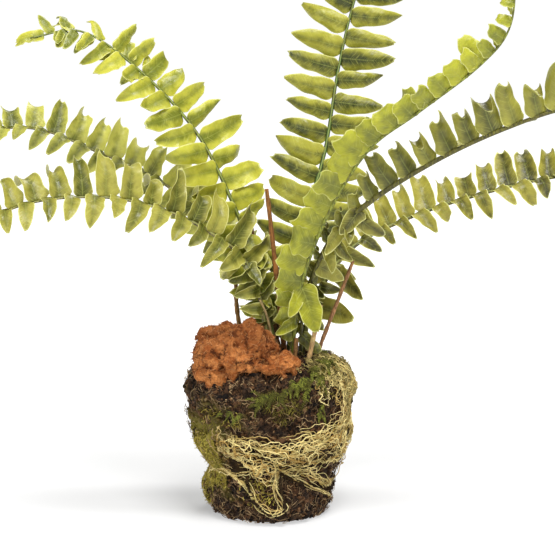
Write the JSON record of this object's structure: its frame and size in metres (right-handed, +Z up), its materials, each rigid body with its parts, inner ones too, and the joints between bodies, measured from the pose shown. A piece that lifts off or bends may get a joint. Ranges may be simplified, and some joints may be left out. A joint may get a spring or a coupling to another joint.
{
  "type": "fern in a moss ball",
  "caption": "Fern with arching fronds growing out of a standing ball of soil wrapped in moss and fine roots, with a lump of coir and dry stalks in its top.",
  "frame": {"origin": "middle of the flat spot under the ball that the plant stands on", "axes": "+Z up, +X to the right and +Y away as the plant is looked at in the picture"},
  "size_m": [0.4912, 0.1916, 0.3643],
  "materials": {
    "soil": "rough dark brown crumbly soil",
    "coir": "matt rust-brown matted fibre",
    "moss": "matt olive moss",
    "root": "matt straw-coloured fine roots",
    "leaf": "satin yellow-green leaf",
    "stalk": "dry brown stalk"
  },
  "bodies": {
    "root": {"soil_ball": "soil", "coir_lump": "coir", "moss_shoulder": "moss", "moss_front": "moss", "moss_left": "moss", "moss_back": "moss", "root_net": "root", "frond_front": "leaf", "frond_left_high": "leaf", "frond_left_back": "leaf", "frond_left_low": "leaf", "frond_back": "leaf", "frond_right_high": "leaf", "frond_right_low": "leaf", "stalk_tall": "stalk", "stalk_left": "stalk", "stalk_far_left": "stalk", "stalk_right": "stalk", "stalk_pale": "stalk", "stalk_thin": "stalk", "stalk_stub": "stalk"}
  },
  "joints": []
}
